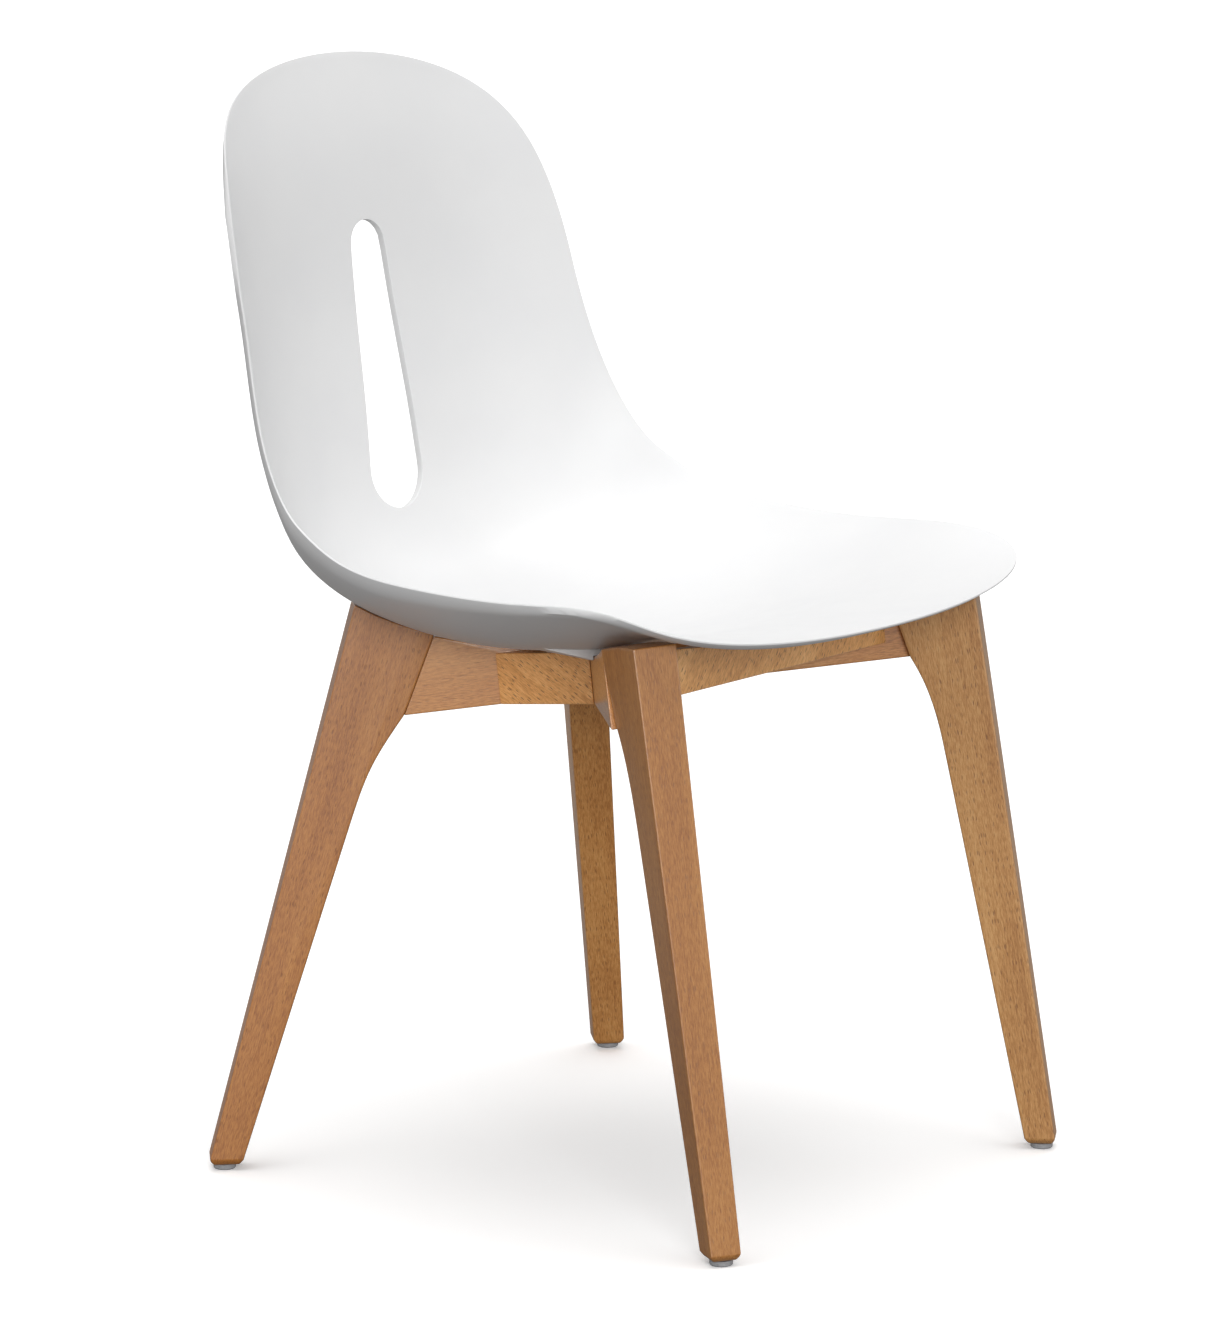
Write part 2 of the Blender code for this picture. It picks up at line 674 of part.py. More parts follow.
shell = shell_sheet()
shell.name = "seat_shell"
shell.data.materials.append(SHELL_WHITE)
for owner in list(shell.users_collection):
    owner.objects.unlink(shell)
parts.objects.link(shell)
solidify = shell.modifiers.new("wall", "SOLIDIFY")
solidify.thickness = SHELL_THICKNESS
solidify.offset = -1.0
solidify.use_even_offset = True
full_wall = shell.vertex_groups.new(name="full_wall")
full_wall.add(inner_vertices(shell.data), 1.0, "REPLACE")
solidify.vertex_group = full_wall.name
solidify.thickness_vertex_group = SHELL_RIM_THICKNESS / SHELL_THICKNESS
round_edges(shell, SHELL_RIM_ROUND, segments=2, angle=50)


def make_pad(name, side, end, distance, cheek_depth):
    """A moulded pad on the shell's underside, with cheeks that hug the beam and fade away from it."""
    out = plan_direction(side, end, BEAM_HALF_ANGLE)
    place = Matrix.Translation(out * distance) @ along_plan(out)
    work = bmesh.new()
    bmesh.ops.create_grid(work, x_segments=4, y_segments=10, size=0.5)
    grown = bmesh.ops.extrude_face_region(work, geom=work.faces[:])
    upper = [item for item in grown["geom"] if isinstance(item, bmesh.types.BMVert)]
    for vertex in work.verts:
        vertex.co.x *= PAD_LENGTH
        vertex.co.y *= BEAM_THICKNESS + 2 * PAD_FADE
        spot = place @ vertex.co
        if vertex in upper:
            vertex.co.z = room_under_shell(spot.x, spot.y, -SHELL_THICKNESS / 2)
        else:
            beside = min(max(0.0, abs(vertex.co.y) - BEAM_THICKNESS / 2) / PAD_FADE, 1.0)
            depth = (cheek_depth + PAD_SINK) * (1 - beside) ** PAD_FADE_POWER - PAD_SINK
            vertex.co.z = room_under_shell(spot.x, spot.y, depth)
    bmesh.ops.recalc_face_normals(work, faces=work.faces)
    mesh = bpy.data.meshes.new(name)
    work.to_mesh(mesh)
    work.free()
    pad = add_piece(name, mesh, SHELL_WHITE, cutters)
    pad.matrix_world = FRAME @ place
    return pad


def along_plan(out):
    """Turn x to a direction in plan."""
    return Matrix.Rotation(math.atan2(out.y, out.x), 4, "Z")


def beam_channel(name, side, end, distance):
    """The space of a beam under a pad, with a little play."""
    out = plan_direction(side, end, BEAM_HALF_ANGLE)
    reach = PAD_LENGTH
    steps = 6
    spans = [distance - reach + 2 * reach * i / steps for i in range(steps + 1)]
    top = [(s, beam_top(side, end, abs(s)) + FIT_GAP) for s in spans]
    outline = [(spans[0], 0.0), (spans[-1], 0.0)] + top[::-1]
    mesh = board_mesh(name, outline, BEAM_THICKNESS + 2 * FIT_GAP)
    channel = add_piece(name, mesh, SHELL_WHITE, cutters)
    channel.matrix_world = upright_board(out, Vector((0, 0, 0)))
    return channel


# ---------------------------------------------------------------- screws, washers, inserts
def make_fastening(corner, side, end, distance):
    """A screw from under a beam, its washer, and the threaded insert in the shell's pad."""
    out = plan_direction(side, end, BEAM_HALF_ANGLE)
    beam = beams[side] if end < 0 else beams[-side]
    foot = FRAME @ Matrix.Translation(out * distance)
    spot = out * distance
    top = room_under_shell(spot.x, spot.y, -SHELL_THICKNESS) - INSERT_COVER
    insert_hole = SCREW_RADIUS + FIT_GAP
    insert_radius = insert_hole + INSERT_WALL
    insert_length = SHELL_THICKNESS - INSERT_COVER + SHELL_SEAT_GAP - INSERT_RECESS
    screw_hole = SCREW_RADIUS + SCREW_HOLE_PLAY
    recess_radius = WASHER_RADIUS + SCREW_RECESS_PLAY
    insert_low = top - insert_length

    insert = turned("insert_" + corner, [
        (insert_hole, insert_length), (insert_radius, insert_length), (insert_radius, 0),
        (insert_hole, 0), (insert_hole, insert_length)], BRASS)
    insert.matrix_world = foot @ Matrix.Translation((0, 0, insert_low))
    pocket_length = insert_length + BEAM_HEIGHT
    pocket = cutter_rod("pocket_" + corner, insert_radius + FIT_GAP, pocket_length,
                        foot @ Matrix.Translation((0, 0, top + FIT_GAP - pocket_length / 2)))
    cut_shell(pocket)

    head_low = SCREW_RECESS_DEPTH - WASHER_THICKNESS - SCREW_HEAD_HEIGHT - 2 * FIT_GAP
    tip = insert_low + insert_length - 2 * FIT_GAP
    head_top = head_low + SCREW_HEAD_HEIGHT
    screw = turned("screw_" + corner, [
        (0, tip), (SCREW_RADIUS * 0.8, tip), (SCREW_RADIUS, tip - 0.001), (SCREW_RADIUS, head_top),
        (SCREW_HEAD_RADIUS, head_top), (SCREW_HEAD_RADIUS, head_low + 0.0008),
        (SCREW_HEAD_RADIUS - 0.0008, head_low), (SCREW_SOCKET_RADIUS, head_low),
        (SCREW_SOCKET_RADIUS, head_low + SCREW_SOCKET_DEPTH), (0, head_low + SCREW_SOCKET_DEPTH)], STEEL)
    screw.matrix_world = foot

    washer_low = head_top + FIT_GAP
    hole = SCREW_RADIUS + FIT_GAP
    washer = turned("washer_" + corner, [
        (hole, WASHER_THICKNESS), (WASHER_RADIUS, WASHER_THICKNESS), (WASHER_RADIUS, 0),
        (hole, 0), (hole, WASHER_THICKNESS)], STEEL)
    washer.matrix_world = foot @ Matrix.Translation((0, 0, washer_low))

    bore = turned("bore_" + corner, [
        (0, 2 * BEAM_HEIGHT), (screw_hole, 2 * BEAM_HEIGHT), (screw_hole, SCREW_RECESS_DEPTH),
        (recess_radius, SCREW_RECESS_DEPTH), (recess_radius, -SCREW_RECESS_DEPTH),
        (0, -SCREW_RECESS_DEPTH)], STEEL, cutters)
    bore.matrix_world = foot
    cut_with(beam, bore)


for corner, side, end in CORNERS:
    distance = PAD_DISTANCES[0] if end < 0 else -PAD_DISTANCES[1]
    cheek_depth = PAD_CHEEK_DEPTHS[0] if end < 0 else PAD_CHEEK_DEPTHS[1]
    cut_shell(make_pad("pad_" + corner, side, end, distance, cheek_depth), "UNION")
for label, side in (("right", -1), ("left", 1)):
    mesh, place = side_block_board("block_space_" + label, side, FIT_GAP)
    space = add_piece("block_space_" + label, mesh, SHELL_WHITE, cutters)
    space.matrix_world = place
    cut_shell(space)
for corner, side, end in CORNERS:
    distance = PAD_DISTANCES[0] if end < 0 else -PAD_DISTANCES[1]
    cut_shell(beam_channel("channel_" + corner, side, end, distance))
    make_fastening(corner, side, end, distance)


# ---------------------------------------------------------------- slot in the back
def slot_outline():
    """Two rounds of unlike size joined by their common tangents; x across, y up the back."""
    length = SLOT_TOP_Z - SLOT_BOTTOM_Z
    lean = math.asin((SLOT_BOTTOM_RADIUS - SLOT_TOP_RADIUS) / length)
    points = []
    for i in range(SLOT_ROUND_STEPS + 1):
        angle = lean + (math.pi - 2 * lean) * i / SLOT_ROUND_STEPS
        points.append((SLOT_TOP_RADIUS * math.cos(angle), length + SLOT_TOP_RADIUS * math.sin(angle)))
    for i in range(SLOT_ROUND_STEPS + 1):
        angle = math.pi - lean + (math.pi + 2 * lean) * i / SLOT_ROUND_STEPS
        points.append((SLOT_BOTTOM_RADIUS * math.cos(angle), SLOT_BOTTOM_RADIUS * math.sin(angle)))
    return points


def profile_at_height(z):
    """The profile's parameter where the back reaches a height."""
    low, high = 0.5, 1.0
    for _ in range(HALVINGS):
        t = (low + high) / 2
        low, high = (t, high) if profile_z(t) < z else (low, t)
    return low


def make_slot():
    low_y, high_y = (profile_y(profile_at_height(z)) for z in (SLOT_BOTTOM_Z, SLOT_TOP_Z))
    lean = math.atan2(high_y - low_y, SLOT_TOP_Z - SLOT_BOTTOM_Z)
    mesh = board_mesh("slot_cut", slot_outline(), 0.12)
    cutter = add_piece("slot_cut", mesh, SHELL_WHITE, cutters)
    cutter.matrix_world = (Matrix.Translation((0, low_y, SLOT_BOTTOM_Z))
                           @ Matrix.Rotation(math.pi / 2 - lean, 4, "X"))
    cut_shell(cutter)


make_slot()


# ---------------------------------------------------------------- glides
def make_glide(corner, side, end):
    centre = foot_centre(side, end)
    edge = 0.0008
    hole = NAIL_RADIUS + FIT_GAP
    pocket = NAIL_HEAD_RADIUS + FIT_GAP
    shoulder = NAIL_RECESS + NAIL_HEAD_HEIGHT + FIT_GAP
    glide = turned("glide_" + corner, [
        (hole, GLIDE_HEIGHT), (GLIDE_RADIUS - edge / 2, GLIDE_HEIGHT), (GLIDE_RADIUS, GLIDE_HEIGHT - edge / 2),
        (GLIDE_RADIUS, edge), (GLIDE_RADIUS - edge, 0), (pocket, 0), (pocket, shoulder), (hole, shoulder),
        (hole, GLIDE_HEIGHT)], NYLON, segments=20)
    glide.matrix_world = Matrix.Translation(centre)
    nail = turned("nail_" + corner, [
        (0, NAIL_RECESS + NAIL_LENGTH), (NAIL_RADIUS, NAIL_RECESS + NAIL_LENGTH - 2 * NAIL_RADIUS),
        (NAIL_RADIUS, NAIL_RECESS + NAIL_HEAD_HEIGHT), (NAIL_HEAD_RADIUS, NAIL_RECESS + NAIL_HEAD_HEIGHT),
        (NAIL_HEAD_RADIUS, NAIL_RECESS), (0, NAIL_RECESS)], STEEL, segments=12)
    nail.matrix_world = Matrix.Translation(centre)
    pilot = cutter_rod("pilot_" + corner, hole, 2 * (NAIL_LENGTH + DOWEL_END_GAP),
                       Matrix.Translation(centre + Vector((0, 0, NAIL_RECESS))))
    cut_with(legs[corner], pilot)


for corner, side, end in CORNERS:
    make_glide(corner, side, end)

for piece in parts.objects:
    piece.data.shade_smooth()
    piece.data.set_sharp_from_angle(angle=math.radians(35))


# ---------------------------------------------------------------- the origin under the middle
def extent_along(axis):
    """Lowest and highest point of the whole chair along an axis."""
    bpy.context.view_layer.update()
    graph = bpy.context.evaluated_depsgraph_get()
    values = []
    for piece in parts.objects:
        seen = piece.evaluated_get(graph)
        values += [(piece.matrix_world @ vertex.co)[axis] for vertex in seen.data.vertices]
    return min(values), max(values)


chair = bpy.data.objects.new("chair", None)
bpy.context.scene.collection.objects.link(chair)
for group in (parts, cutters):
    for piece in group.objects:
        piece.parent = chair
chair.location.y = -sum(extent_along(1)) / 2
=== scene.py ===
"""Dining chair: the looks.

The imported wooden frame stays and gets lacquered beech. The seat shell is made again as one fine
surface, from the same stations as the CAD shell, and replaces it.
"""

import functools
import math

import bmesh
import bpy
import numpy as np
from mathutils import Matrix, Vector


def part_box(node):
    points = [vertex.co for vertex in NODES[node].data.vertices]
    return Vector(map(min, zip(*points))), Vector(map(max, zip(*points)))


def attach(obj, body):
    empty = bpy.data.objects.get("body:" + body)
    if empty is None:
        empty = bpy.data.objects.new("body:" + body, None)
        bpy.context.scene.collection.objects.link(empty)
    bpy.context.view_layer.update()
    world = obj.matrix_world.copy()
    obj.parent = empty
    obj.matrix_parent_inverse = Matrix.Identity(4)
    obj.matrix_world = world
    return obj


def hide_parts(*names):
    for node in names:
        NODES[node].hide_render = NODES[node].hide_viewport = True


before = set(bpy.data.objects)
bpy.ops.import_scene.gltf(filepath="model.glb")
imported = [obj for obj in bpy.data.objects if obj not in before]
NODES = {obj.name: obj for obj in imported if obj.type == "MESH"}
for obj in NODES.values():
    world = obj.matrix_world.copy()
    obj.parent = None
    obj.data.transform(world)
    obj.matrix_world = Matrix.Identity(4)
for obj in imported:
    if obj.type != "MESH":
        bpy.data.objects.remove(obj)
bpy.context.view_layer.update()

# ---------------------------------------------------------------- the shell's shape
SHELL_THICKNESS = 0.0055
RIM_THICKNESS = 0.0013              # wall left at the rim, thinner than on the CAD shell
RIM_ROUND = 0.0005
RIM_TAPER = 0.05                    # share of the way from the rim to the middle that thins out
RISE_POWER = 2.95                   # how late across the width the edge turns up
RISE_SPREAD = 0.13                  # share of the profile, each way, that sets the edge's direction
FRONT_ROUNDING = 0.232              # share of the profile that the rounded front corners take
TOP_ROUNDING = 0.215                # share of the profile that the rounded top takes
# y and z on the sitter's side, half width before the corners are rounded, rise of the edge
SHELL_STATIONS = (
    (-0.341, 0.435, 0.393, 0.000),  # front lip
    (-0.267, 0.431, 0.262, 0.034),  # under the thighs
    (-0.170, 0.413, 0.226, 0.051),
    (-0.077, 0.399, 0.225, 0.065),  # lowest part of the seat
    (0.018, 0.402, 0.221, 0.075),
    (0.107, 0.438, 0.216, 0.087),   # bend between seat and back
    (0.134, 0.531, 0.206, 0.055),   # small of the back
    (0.151, 0.630, 0.193, 0.041),
    (0.169, 0.734, 0.199, 0.026),   # shoulders
    (0.199, 0.814, 0.234, 0.000),   # top edge
)
SHELL_GRID = (132, 64)              # quads along and across, both even
SLOT_WINDOW = (74, 118, 24, 40)     # rows and columns of the grid that give way to the slot
SLOT_TOP_Z = 0.6703                 # centre of the small upper round
SLOT_BOTTOM_Z = 0.5000              # centre of the large lower round
SLOT_TOP_RADIUS = 0.0194
SLOT_BOTTOM_RADIUS = 0.0300
SLOT_RINGS = 6                      # rows of quads between the window and the slot
SLOT_CORNER_WEIGHT = 1.6            # how closely the rings gather at the slot
SLOT_SAMPLES = 720                  # points round the slot that the rings may end on
HEIGHT_HALVINGS = 30                # steps of a search for a height on the back
RIM_EDGE_ANGLE = math.radians(50)   # edges sharper than this are rounded
SHELL_SMOOTH_ANGLE = math.radians(38)

# ---------------------------------------------------------------- the frame under the shell
FRAME_RAKE = math.radians(7.3)
HUB = Vector((0.0, -0.0729, 0.3522))
BEAM_HALF_ANGLE = math.radians(46.8)
BEAM_THICKNESS = 0.026
BEAM_HEIGHT = 0.060
SHELL_SEAT_GAP = 0.0035
SIDE_BLOCK_FACE_X = 0.0677
SIDE_BLOCK_DEPTH = 0.024
SIDE_BLOCK_HEIGHT = 0.0385
FIT_GAP = 0.0003
PAD_DISTANCES = {-1: 0.105, 1: 0.067}   # along each beam from the hub, to the front and to the rear
PAD_LENGTH = 0.050
PAD_CHEEK_DEPTHS = {-1: 0.008, 1: 0.004}
PAD_FADE_POWER = 1.3
PAD_FADE = 0.046
PAD_SINK = 0.0012
PAD_GRID = (10, 40)
INSERT_RADIUS = 0.0045
INSERT_TOP_COVER = 0.0020
REAR_LEG_TURN = math.radians(45.3)
FRONT_LEG_TURN = math.radians(30.7)
HALVINGS = 15                       # steps of a search for a place on the seat
SEAT_SEARCH = (0.02, 0.56)          # share of the profile that the seat takes
SLOPE_STEP = 0.002                  # half the stretch over which the seat's slope is measured
LEVEL_ROUNDS = 3                    # rounds that find the underside along the raked axis
FIRST_LEVEL = BEAM_HEIGHT * 0.8     # where that search starts
CHANNEL_STEPS = 12
POCKET_SIDES = 32
CORNERS = {"rear_right": (-1, 1), "front_right": (-1, -1), "front_left": (1, -1), "rear_left": (1, 1)}


def natural_spline(values):
    """A natural cubic spline through values at equal steps of a parameter from 0 to 1."""
    values = np.array(values, float)
    last = len(values) - 1
    step = 1.0 / last
    matrix = np.eye(last + 1)
    right = np.zeros(last + 1)
    for i in range(1, last):
        matrix[i, i - 1:i + 2] = (1, 4, 1)
        right[i] = 6 * (values[i - 1] - 2 * values[i] + values[i + 1]) / step ** 2
    bend = np.linalg.solve(matrix, right)

    def at(t):
        i = min(int(t / step), last - 1)
        b = (t - i * step) / step
        a = 1 - b
        curve = (a ** 3 - a) * bend[i] + (b ** 3 - b) * bend[i + 1]
        return a * values[i] + b * values[i + 1] + curve * step ** 2 / 6

    return at


profile_y, profile_z, half_width, edge_rise = (natural_spline(column) for column in zip(*SHELL_STATIONS))


def rise_direction(t):
    """Unit vector in y and z towards the sitter, square to a long chord of the profile."""
    low, high = max(t - RISE_SPREAD, 0.0), min(t + RISE_SPREAD, 1.0)
    dy = profile_y(high) - profile_y(low)
    dz = profile_z(high) - profile_z(low)
    length = math.hypot(dy, dz)
    return -dz / length, dy / length


def corner_factor(t):
    front = min(t / FRONT_ROUNDING, 1.0)
    top = min((1 - t) / TOP_ROUNDING, 1.0)
    return math.sqrt(max(1 - (1 - front) ** 2, 0.0)) * math.sqrt(max(1 - (1 - top) ** 2, 0.0))


def shell_point(t, across):
    """A point of the sitter's side: t runs front to top, across from -1 to 1."""
    inward = rise_direction(t)
    rise = edge_rise(t) * abs(across) ** RISE_POWER
    return Vector((half_width(t) * corner_factor(t) * across,
                   profile_y(t) + inward[0] * rise,
                   profile_z(t) + inward[1] * rise))


def seat_height(x, y):
    """Height of the sitter's side over a point of the seat."""
    low, high = SEAT_SEARCH
    for _ in range(HALVINGS):
        t = (low + high) / 2
        across = min(abs(x) / (half_width(t) * corner_factor(t)), 1.0)
        if shell_point(t, across).y < y:
            low = t
        else:
            high = t
    return shell_point(low, across).z


@functools.lru_cache(maxsize=None)
def underside_height(x, y):
    """Height of the underside, for x at or to the left of the middle."""
    d = SLOPE_STEP
    slope_x = (seat_height(x + d, y) - seat_height(x - d, y)) / (2 * d)
    slope_y = (seat_height(x, y + d) - seat_height(x, y - d)) / (2 * d)
    return seat_height(x, y) - SHELL_THICKNESS * math.sqrt(1 + slope_x ** 2 + slope_y ** 2)


# ---------------------------------------------------------------- placing
def glide_middle(corner):
    low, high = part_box("glide_" + corner)
    return (Vector(low) + Vector(high)) / 2


MODEL_FRAME = Matrix.Translation(HUB) @ Matrix.Rotation(-FRAME_RAKE, 4, "X")


def room_under_shell(x, y):
    """Level of the shell's underside over x, y of the frame."""
    height = FIRST_LEVEL
    for _ in range(LEVEL_ROUNDS):
        spot = MODEL_FRAME @ Vector((x, y, height))
        under = underside_height(round(abs(spot.x), 6), round(spot.y, 6))
        height += (under - spot.z) / math.cos(FRAME_RAKE)
    return height


def plan_direction(side, end, angle):
    return Vector((side * math.sin(angle), end * math.cos(angle), 0))


# ---------------------------------------------------------------- nodes for materials
class Look:
    """A material and short ways to add nodes to it."""

    def __init__(self, name, roughness, metallic=0.0):
        self.material = bpy.data.materials.new(name)
        self.material.use_nodes = True
        self.tree = self.material.node_tree
        self.shader = self.tree.nodes["Principled BSDF"]
        self.set(self.shader, Roughness=roughness, Metallic=metallic)
        self.object_space = self.tree.nodes.new("ShaderNodeTexCoord").outputs["Object"]

    def set(self, node, **values):
        for name, value in values.items():
            node.inputs[name.replace("_", " ")].default_value = value

    def feed(self, source, socket):
        if isinstance(source, bpy.types.NodeSocket):
            self.tree.links.new(source, socket)
        else:
            socket.default_value = source

    def math(self, operation, a, b=0.0, clamp=False):
        node = self.tree.nodes.new("ShaderNodeMath")
        node.operation = operation
        node.use_clamp = clamp
        self.feed(a, node.inputs[0])
        self.feed(b, node.inputs[1])
        return node.outputs[0]

    def dot(self, vector, axis):
        node = self.tree.nodes.new("ShaderNodeVectorMath")
        node.operation = "DOT_PRODUCT"
        self.feed(vector, node.inputs[0])
        node.inputs[1].default_value = axis
        return node.outputs["Value"]

    def scaled(self, vector, scale, shift=(0.0, 0.0, 0.0)):
        node = self.tree.nodes.new("ShaderNodeMapping")
        self.feed(vector, node.inputs["Vector"])
        node.inputs["Scale"].default_value = scale
        node.inputs["Location"].default_value = shift
        return node.outputs[0]

    def join(self, x, y, z):
        node = self.tree.nodes.new("ShaderNodeCombineXYZ")
        for socket, value in zip(node.inputs, (x, y, z)):
            self.feed(value, socket)
        return node.outputs[0]

    def noise(self, vector, detail, roughness, distortion=0.0):
        node = self.tree.nodes.new("ShaderNodeTexNoise")
        self.feed(vector, node.inputs["Vector"])
        self.set(node, Scale=1.0, Detail=detail, Roughness=roughness, Distortion=distortion)
        return node.outputs[0]

    def voronoi(self, vector):
        node = self.tree.nodes.new("ShaderNodeTexVoronoi")
        self.feed(vector, node.inputs["Vector"])
        self.set(node, Scale=1.0, Randomness=1.0)
        return node.outputs["Distance"], node.outputs["Color"]

    def spread(self, value, low, high, to_low=0.0, to_high=1.0, smooth=False):
        node = self.tree.nodes.new("ShaderNodeMapRange")
        node.clamp = True
        if smooth:
            node.interpolation_type = "SMOOTHSTEP"
        self.feed(value, node.inputs["Value"])
        self.set(node, From_Min=low, From_Max=high, To_Min=to_low, To_Max=to_high)
        return node.outputs[0]

    def mix(self, factor, a, b, blend="MIX"):
        node = self.tree.nodes.new("ShaderNodeMix")
        node.data_type = "RGBA"
        node.blend_type = blend
        self.feed(factor, node.inputs[0])
        self.feed(a if isinstance(a, bpy.types.NodeSocket) else (*a, 1.0), node.inputs[6])
        self.feed(b if isinstance(b, bpy.types.NodeSocket) else (*b, 1.0), node.inputs[7])
        return node.outputs[2]

    def bump(self, height, distance, strength=1.0, under=None):
        node = self.tree.nodes.new("ShaderNodeBump")
        self.set(node, Strength=strength, Distance=distance)
        self.feed(height, node.inputs["Height"])
        if under is not None:
            self.feed(under, node.inputs["Normal"])
        return node.outputs[0]

    def colour(self, source):
        self.feed(source if isinstance(source, bpy.types.NodeSocket) else (*source, 1.0),
                  self.shader.inputs["Base Color"])

    def finish(self, normal=None, roughness=None):
        if normal is not None:
            self.feed(normal, self.shader.inputs["Normal"])
        if roughness is not None:
            self.feed(roughness, self.shader.inputs["Roughness"])
        return self.material


# ---------------------------------------------------------------- materials
BEECH_DARK = (0.345, 0.135, 0.032)
BEECH_MID = (0.520, 0.240, 0.070)
BEECH_LIGHT = (0.650, 0.345, 0.122)
FLECK_BROWN = (0.150, 0.052, 0.015)
SATIN_SPECULAR = 0.45


def beech(name, along, wide, painted_shade_tint, warmth, fleck, seed):
    """Lacquered beech: grain along one axis, wide face square to another.

    The tint scales the colour and carries painted light and shade set per piece, warmth turns it towards
    red, and fleck is how strong the brown dashes are.
    """
    look = Look(name, 0.42)
    along = Vector(along).normalized()
    through = Vector(wide)
    through = (through - along * through.dot(along)).normalized()
    across = through.cross(along)
    u, v, w = (look.dot(look.object_space, axis) for axis in (along, across, through))
    spot = look.join(u, v, w)
    shift = (seed * 3.1, seed * 1.7 + 5, seed * 2.3)

    board = look.noise(look.scaled(spot, (3.5, 26, 26), shift), 3.0, 0.55, 0.4)
    rings = look.noise(look.scaled(spot, (5, 210, 120), shift), 2.0, 0.5, 0.6)
    fibre = look.noise(look.scaled(spot, (150, 2300, 2300), shift), 3.0, 0.62)
    strokes = look.noise(look.scaled(spot, (170, 1250, 1250), shift), 2.0, 0.6)
    tone = look.spread(board, 0.30, 0.70, 0.30, 0.72)
    tone = look.math("ADD", tone, look.spread(rings, 0.30, 0.70, -0.12, 0.12))
    tone = look.math("ADD", tone, look.spread(strokes, 0.36, 0.64, -0.26, 0.26))
    tone = look.math("ADD", tone, look.spread(fibre, 0.30, 0.70, -0.16, 0.16), clamp=True)
    base = look.mix(look.spread(tone, 0.0, 0.5), BEECH_DARK, BEECH_MID)
    base = look.mix(look.spread(tone, 0.5, 1.0), base, BEECH_LIGHT)

    dash, random_of_dash = look.voronoi(look.scaled(spot, (150, 760, 760), shift))
    chosen = look.spread(look.dot(random_of_dash, (1, 0, 0)), 0.55, 0.8)
    dashes = look.math("MULTIPLY", look.spread(dash, 0.20, 0.40, 1.0, 0.0, True), chosen)
    pore, _ = look.voronoi(look.scaled(spot, (600, 3600, 3600), shift))
    pores = look.spread(pore, 0.12, 0.36, 0.5, 0.0, True)
    base = look.mix(look.math("MULTIPLY", dashes, fleck), base, FLECK_BROWN)
    base = look.mix(look.math("MULTIPLY", pores, 0.5), base, FLECK_BROWN)
    # painted light and shade: the tint lightens or darkens each piece to match the light it gets in this
    # view, and the warmth shifts its colour along with it
    painted_shade_colour = (painted_shade_tint * (1 + warmth), painted_shade_tint, painted_shade_tint * (1 - 1.6 * warmth))
    look.colour(look.mix(1.0, base, painted_shade_colour, "MULTIPLY"))

    relief = look.bump(fibre, 0.00010, 0.35)
    relief = look.bump(look.math("MULTIPLY", dashes, -1.0), 0.00012, 0.5, relief)
    look.set(look.shader, Coat_Weight=0.75, Coat_Roughness=0.20,
             Specular_IOR_Level=SATIN_SPECULAR)
    return look.finish(relief, look.spread(fibre, 0.3, 0.7, 0.36, 0.50))


def raw_beech(name):
    """Dowel stock: paler, with flutes along it."""
    look = Look(name, 0.62)
    fibre = look.noise(look.scaled(look.object_space, (900, 900, 900)), 3.0, 0.6)
    look.colour(look.mix(look.spread(fibre, 0.3, 0.7), (0.46, 0.27, 0.13), (0.60, 0.39, 0.21)))
    return look.finish(look.bump(fibre, 0.0001, 0.4))


def shell_plastic():
    """White polypropylene with the fine satin grain of its mould."""
    look = Look("shell_white_satin", 0.44)
    grain = look.noise(look.scaled(look.object_space, (2600, 2600, 2600)), 2.0, 0.6)
    cloud = look.noise(look.scaled(look.object_space, (14, 14, 14)), 3.0, 0.5)
    handled = look.noise(look.scaled(look.object_space, (55, 55, 55)), 4.0, 0.6)
    look.colour(look.mix(look.spread(cloud, 0.3, 0.7), (0.735, 0.736, 0.740), (0.755, 0.755, 0.755)))
    look.set(look.shader, Specular_IOR_Level=SATIN_SPECULAR)
    return look.finish(look.bump(grain, 0.00006, 0.25), look.spread(handled, 0.3, 0.7, 0.40, 0.50))


def nylon():
    look = Look("glide_grey_nylon", 0.5)
    scuff = look.noise(look.scaled(look.object_space, (420, 420, 1600)), 4.0, 0.65)
    look.colour(look.mix(look.spread(scuff, 0.35, 0.7), (0.30, 0.30, 0.31), (0.44, 0.44, 0.45)))
    return look.finish(look.bump(scuff, 0.0002, 0.3), look.spread(scuff, 0.3, 0.7, 0.38, 0.62))


def zinc():
    look = Look("zinc_plated_steel", 0.3, 1.0)
    brushed = look.noise(look.scaled(look.object_space, (1500, 1500, 300)), 3.0, 0.6)
    look.colour(look.mix(look.spread(brushed, 0.3, 0.7), (0.50, 0.50, 0.49), (0.70, 0.70, 0.69)))
    return look.finish(look.bump(brushed, 0.00005, 0.3), look.spread(brushed, 0.3, 0.7, 0.22, 0.42))


def brass():
    look = Look("insert_brass", 0.32, 1.0)
    turned = look.noise(look.scaled(look.object_space, (400, 400, 3000)), 3.0, 0.6)
    look.colour(look.mix(look.spread(turned, 0.3, 0.7), (0.60, 0.43, 0.19), (0.76, 0.58, 0.30)))
    return look.finish(look.bump(turned, 0.00005, 0.3), look.spread(turned, 0.3, 0.7, 0.25, 0.45))


# ---------------------------------------------------------------- the wooden frame and its metalwork
UP = Vector((0, 0, 1))
RAKE_TURN = Matrix.Rotation(-FRAME_RAKE, 3, "X")
LEG_HEAD_INSET = (0.035, 0.050)     # from the sides of a leg's box to the middle of its head
WOOD_SMOOTH_ANGLE = math.radians(36)
WELD_DISTANCE = 0.00002


